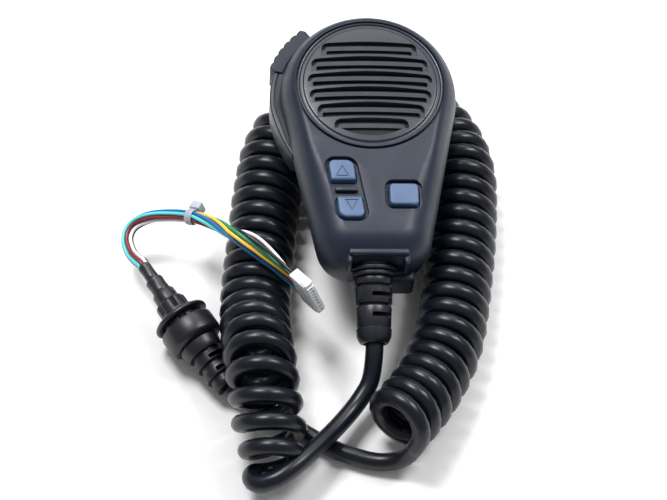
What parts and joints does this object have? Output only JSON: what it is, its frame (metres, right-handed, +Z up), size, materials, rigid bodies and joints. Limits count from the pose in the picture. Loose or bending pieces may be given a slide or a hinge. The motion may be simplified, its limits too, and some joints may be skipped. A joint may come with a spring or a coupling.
{
  "type": "hand microphone",
  "caption": "Round-headed hand microphone with talk lever and face keys, coiled cord, panel grommet and a wire plug, lying on its cord.",
  "frame": {"origin": "centre of the hanger stud's base on the rear case", "axes": "+Y towards the head along the microphone, +X to the right seen from the face, +Z up out of the face; the microphone leans 8 degrees back to its cord end, 3 degrees to the right, on its coiled cord"},
  "size_m": [0.1269, 0.1701, 0.0528],
  "materials": {
    "case_black": "matte, fine spark texture",
    "lever_plastic": "satin",
    "soft_rubber": "matte",
    "cloth": "matte",
    "key_grey": "satin",
    "dark_plastic": "satin",
    "switch_steel": "satin",
    "board_green": "satin",
    "screw_steel": "satin",
    "stud_steel": "polished",
    "white_nylon": "satin",
    "capsule_aluminium": "satin",
    "grip_rubber": "matte",
    "boot_rubber": "satin",
    "cord_jacket": "satin",
    "sleeve_plastic": "satin",
    "blue_jacket": "satin",
    "cyan_jacket": "satin",
    "white_jacket": "satin",
    "black_jacket": "satin",
    "red_jacket": "satin",
    "yellow_jacket": "satin",
    "green_jacket": "satin",
    "brown_jacket": "satin",
    "tie_nylon": "translucent white",
    "contact_brass": "satin"
  },
  "bodies": {
    "microphone": {"front_case": "case_black", "rear_case": "case_black", "case_seal": "soft_rubber", "grille": "case_black", "grille_cloth": "cloth", "key_mat": "soft_rubber", "key_switches": "switch_steel", "circuit_board": "board_green", "board_screws": "screw_steel", "cord_socket": "white_nylon", "mic_capsule": "capsule_aluminium", "mic_holder": "soft_rubber", "lever_pin": "screw_steel", "lever_seal": "soft_rubber", "talk_switch": "dark_plastic", "case_screws": "screw_steel", "hanger_stud": "stud_steel", "hanger_screw": "screw_steel", "cord_boot": "boot_rubber", "boot_clamp": "switch_steel", "clamp_screws": "screw_steel", "inner_cord": "cord_jacket", "mic_tail": "cord_jacket", "curly_cord": "cord_jacket", "radio_tail": "cord_jacket", "panel_grommet": "boot_rubber", "clamp_collar": "boot_rubber", "large_sleeve": "sleeve_plastic", "small_sleeve": "sleeve_plastic", "blue_wire": "blue_jacket", "cyan_wire": "cyan_jacket", "white_wire": "white_jacket", "black_wire": "black_jacket", "red_wire": "red_jacket", "yellow_wire": "yellow_jacket", "green_wire": "green_jacket", "brown_wire": "brown_jacket", "cable_tie": "tie_nylon", "plug_housing": "white_nylon", "plug_contacts": "contact_brass"},
    "up_key": {"up_key": "key_grey", "up_plunger": "dark_plastic"},
    "down_key": {"down_key": "key_grey", "down_plunger": "dark_plastic"},
    "select_key": {"select_key": "key_grey", "select_plunger": "dark_plastic"},
    "talk_lever": {"talk_lever": "lever_plastic", "grip_pad": "grip_rubber"},
    "talk_plunger": {"talk_plunger": "white_nylon"}
  },
  "joints": [
    {"name": "up_key_press", "type": "slide", "parent": "microphone", "child": "up_key", "axis": [-0.0523, 0.139, -0.9889], "range_m": [0, 0.0008], "stiffness_N_per_m": 300, "springref_m": -0.001},
    {"name": "down_key_press", "type": "slide", "parent": "microphone", "child": "down_key", "axis": [-0.0523, 0.139, -0.9889], "range_m": [0, 0.0008], "stiffness_N_per_m": 300, "springref_m": -0.001},
    {"name": "select_key_press", "type": "slide", "parent": "microphone", "child": "select_key", "axis": [-0.0523, 0.139, -0.9889], "range_m": [0, 0.0008], "stiffness_N_per_m": 300, "springref_m": -0.001},
    {"name": "talk_lever_press", "type": "hinge", "parent": "microphone", "child": "talk_lever", "pos_m": [-0.02266, 0.00406, 0.01401], "axis": [-0.0523, 0.139, -0.9889], "range_deg": [0, 2.5], "stiffness_Nm_per_rad": 1, "springref_deg": -2.86},
    {"name": "talk_plunger_slide", "type": "slide", "parent": "microphone", "child": "talk_plunger", "axis": [0.9871, -0.1426, -0.0723], "range_m": [0, 0.00105]}
  ],
  "couplings": [
    {"joint": "talk_plunger_slide", "follows": "talk_lever_press", "m_per_rad": 0.0232}
  ]
}
